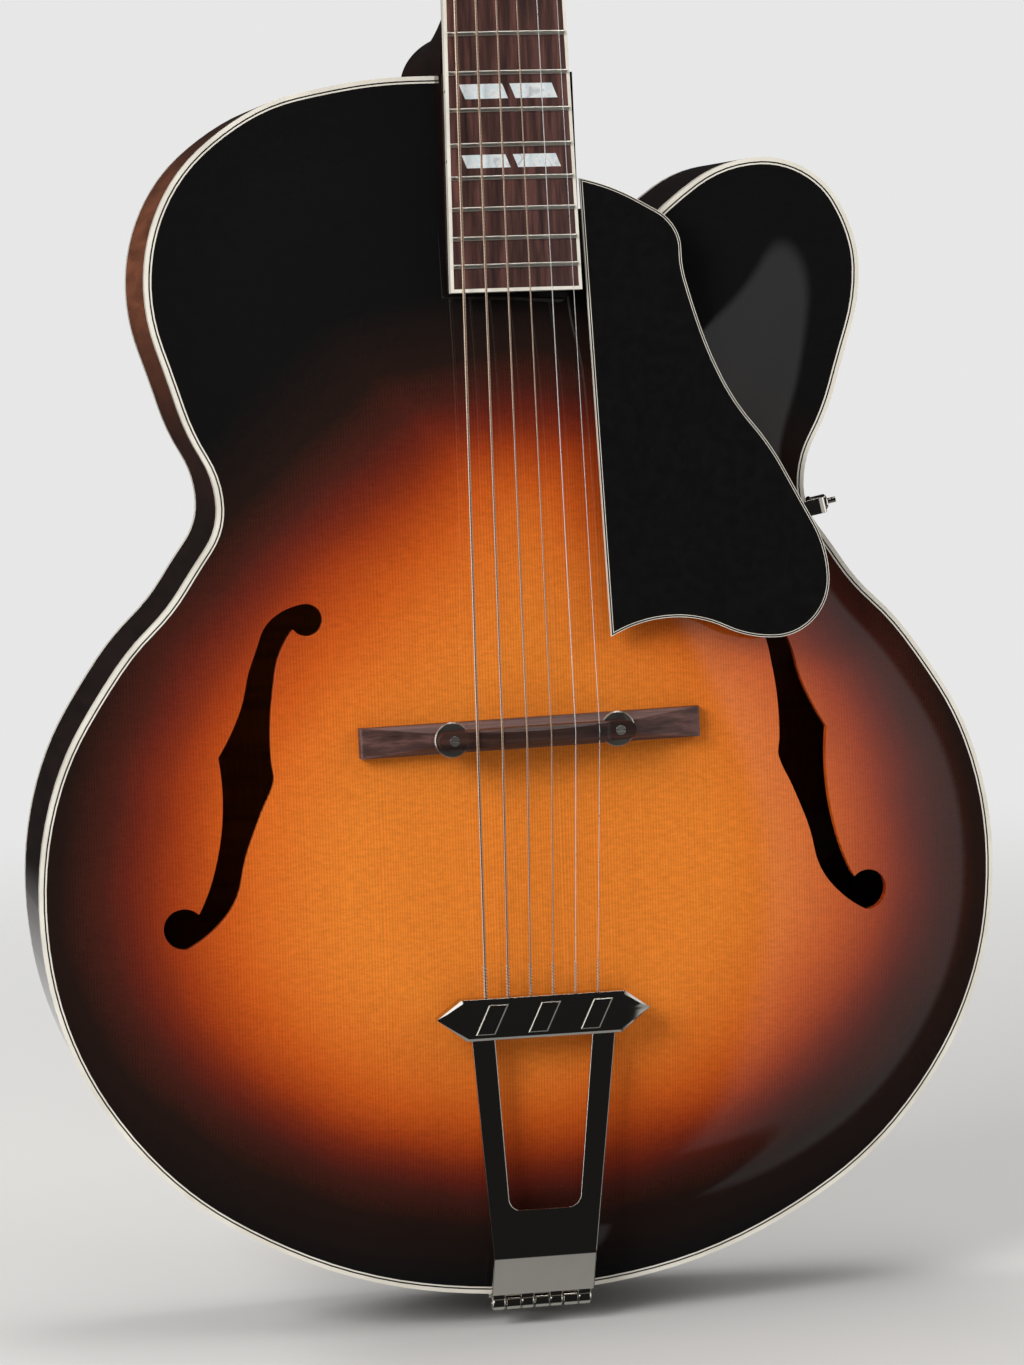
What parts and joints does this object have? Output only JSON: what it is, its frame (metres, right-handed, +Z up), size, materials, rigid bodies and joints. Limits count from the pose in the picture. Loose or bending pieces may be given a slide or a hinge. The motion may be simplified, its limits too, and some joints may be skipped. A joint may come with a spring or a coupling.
{
  "type": "archtop guitar",
  "caption": "Hollow arched guitar with a rounded cutaway, f-holes, floating bridge, trapeze tailpiece, raised pickguard and geared tuners.",
  "frame": {"origin": "seat of the end pin on the middle of the tail, halfway through the ribs' depth", "axes": "+Z up the neck, +X to the treble side, +Y to the back"},
  "size_m": [0.4376, 0.1442, 1.0935],
  "materials": {
    "lacquered_spruce": "carved spruce, amber to dark brown sunburst under gloss lacquer",
    "lacquered_maple": "dark red-brown stained maple under gloss lacquer",
    "bare_spruce": "bare sawn wood inside the body",
    "cream_binding": "cream celluloid under lacquer",
    "black_white_purfling": "black, white and black celluloid lines",
    "black_plastic": "polished black celluloid",
    "rosewood": "oiled rosewood with open pores",
    "nickel_silver": "polished fret wire",
    "pearl": "pearl tiles, polished flush",
    "bone": "polished bone",
    "steel": "plain steel rod",
    "brass": "turned brass",
    "nickel_plate": "polished nickel plate",
    "bronze_wire": "wire-wound string",
    "plain_steel_wire": "plain drawn steel string"
  },
  "bodies": {
    "guitar": {"soundboard": "lacquered_spruce", "back_plate": "lacquered_maple", "rib_bass": "lacquered_maple", "rib_treble": "lacquered_maple", "linings": "bare_spruce", "neck_block": "bare_spruce", "tail_block": "bare_spruce", "tone_bars": "bare_spruce", "top_binding": "cream_binding", "top_purfling": "black_white_purfling", "back_binding": "cream_binding", "end_pin": "black_plastic", "tail_bracket": "nickel_plate", "neck": "lacquered_maple", "heel_cap": "cream_binding", "fingerboard": "rosewood", "fingerboard_binding": "cream_binding", "frets": "nickel_silver", "position_markers": "pearl", "side_dots": "black_plastic", "nut": "bone", "truss_rod": "steel", "truss_rod_nut": "brass", "headstock_veneer": "black_plastic", "truss_rod_cover": "black_plastic", "tuner_housings": "nickel_plate", "tuner_bushings": "nickel_plate", "string_1": "bronze_wire", "string_2": "bronze_wire", "string_3": "bronze_wire", "string_4": "bronze_wire", "string_5": "plain_steel_wire", "string_6": "plain_steel_wire", "bridge_base": "rosewood", "bridge_posts": "nickel_plate", "hinge_pin": "nickel_plate", "pickguard": "black_plastic", "pickguard_binding": "cream_binding", "pickguard_block": "black_plastic", "pickguard_bracket": "nickel_plate", "pickguard_nut": "nickel_plate", "wood_screws": "nickel_plate"},
    "saddle": {"bridge_saddle": "rosewood"},
    "thumbwheel_bass": {"thumbwheel_bass": "nickel_plate"},
    "thumbwheel_treble": {"thumbwheel_treble": "nickel_plate"},
    "tailpiece": {"tailpiece_frame": "nickel_plate", "tailpiece_crossbar": "nickel_plate", "ball_ends": "brass"},
    "tuner_key_1": {"tuner_key_1": "nickel_plate"},
    "tuner_post_1": {"tuner_post_1": "nickel_plate"},
    "tuner_key_2": {"tuner_key_2": "nickel_plate"},
    "tuner_post_2": {"tuner_post_2": "nickel_plate"},
    "tuner_key_3": {"tuner_key_3": "nickel_plate"},
    "tuner_post_3": {"tuner_post_3": "nickel_plate"},
    "tuner_key_4": {"tuner_key_4": "nickel_plate"},
    "tuner_post_4": {"tuner_post_4": "nickel_plate"},
    "tuner_key_5": {"tuner_key_5": "nickel_plate"},
    "tuner_post_5": {"tuner_post_5": "nickel_plate"},
    "tuner_key_6": {"tuner_key_6": "nickel_plate"},
    "tuner_post_6": {"tuner_post_6": "nickel_plate"}
  },
  "joints": [
    {"name": "tuner_key_1_turn", "type": "hinge", "parent": "guitar", "child": "tuner_key_1", "pos_m": [-0.025, -0.00231, 0.93894], "axis": [1, 0, 0], "continuous": true},
    {"name": "tuner_post_1_turn", "type": "hinge", "parent": "guitar", "child": "tuner_post_1", "pos_m": [-0.025, -0.01766, 0.95169], "axis": [0, -0.953, 0.303], "continuous": true},
    {"name": "tuner_key_2_turn", "type": "hinge", "parent": "guitar", "child": "tuner_key_2", "pos_m": [-0.025, 0.00951, 0.9761], "axis": [1, 0, 0], "continuous": true},
    {"name": "tuner_post_2_turn", "type": "hinge", "parent": "guitar", "child": "tuner_post_2", "pos_m": [-0.025, -0.00585, 0.98886], "axis": [0, -0.953, 0.303], "continuous": true},
    {"name": "tuner_key_3_turn", "type": "hinge", "parent": "guitar", "child": "tuner_key_3", "pos_m": [-0.025, 0.02133, 1.01327], "axis": [1, 0, 0], "continuous": true},
    {"name": "tuner_post_3_turn", "type": "hinge", "parent": "guitar", "child": "tuner_post_3", "pos_m": [-0.025, 0.00597, 1.02602], "axis": [0, -0.953, 0.303], "continuous": true},
    {"name": "tuner_key_4_turn", "type": "hinge", "parent": "guitar", "child": "tuner_key_4", "pos_m": [0.025, 0.02133, 1.01327], "axis": [1, 0, 0], "continuous": true},
    {"name": "tuner_post_4_turn", "type": "hinge", "parent": "guitar", "child": "tuner_post_4", "pos_m": [0.025, 0.00597, 1.02602], "axis": [0, -0.953, 0.303], "continuous": true},
    {"name": "tuner_key_5_turn", "type": "hinge", "parent": "guitar", "child": "tuner_key_5", "pos_m": [0.025, 0.00951, 0.9761], "axis": [1, 0, 0], "continuous": true},
    {"name": "tuner_post_5_turn", "type": "hinge", "parent": "guitar", "child": "tuner_post_5", "pos_m": [0.025, -0.00585, 0.98886], "axis": [0, -0.953, 0.303], "continuous": true},
    {"name": "tuner_key_6_turn", "type": "hinge", "parent": "guitar", "child": "tuner_key_6", "pos_m": [0.025, -0.00231, 0.93894], "axis": [1, 0, 0], "continuous": true},
    {"name": "tuner_post_6_turn", "type": "hinge", "parent": "guitar", "child": "tuner_post_6", "pos_m": [0.025, -0.01766, 0.95169], "axis": [0, -0.953, 0.303], "continuous": true},
    {"name": "saddle_height", "type": "slide", "parent": "guitar", "child": "saddle", "axis": [0, -1, 0], "range_m": [-0.00121, 0.00401], "deforming": ["string_1", "string_2", "string_3", "string_4", "string_5", "string_6"]},
    {"name": "thumbwheel_bass_turn", "type": "hinge", "parent": "saddle", "child": "thumbwheel_bass", "pos_m": [-0.03729, -0.0751, 0.25716], "axis": [0, -1, 0], "range_deg": [-540, 1800]},
    {"name": "thumbwheel_treble_turn", "type": "hinge", "parent": "saddle", "child": "thumbwheel_treble", "pos_m": [0.03729, -0.0751, 0.25846], "axis": [0, -1, 0], "range_deg": [-540, 1800]},
    {"name": "tailpiece_hinge", "type": "hinge", "parent": "guitar", "child": "tailpiece", "pos_m": [0, -0.0466, -0.0028], "axis": [1, 0, 0], "range_deg": [-2, 4], "stiffness_Nm_per_rad": 60, "deforming": ["string_1", "string_2", "string_3", "string_4", "string_5", "string_6"]}
  ],
  "couplings": [
    {"joint": "tuner_post_1_turn", "follows": "tuner_key_1_turn", "ratio": -0.071429},
    {"joint": "tuner_post_2_turn", "follows": "tuner_key_2_turn", "ratio": -0.071429},
    {"joint": "tuner_post_3_turn", "follows": "tuner_key_3_turn", "ratio": -0.071429},
    {"joint": "tuner_post_4_turn", "follows": "tuner_key_4_turn", "ratio": 0.071429},
    {"joint": "tuner_post_5_turn", "follows": "tuner_key_5_turn", "ratio": 0.071429},
    {"joint": "tuner_post_6_turn", "follows": "tuner_key_6_turn", "ratio": 0.071429},
    {"joint": "saddle_height", "follows": "thumbwheel_bass_turn", "m_per_rad": 0.00012732},
    {"joint": "thumbwheel_treble_turn", "follows": "thumbwheel_bass_turn", "ratio": 1}
  ]
}
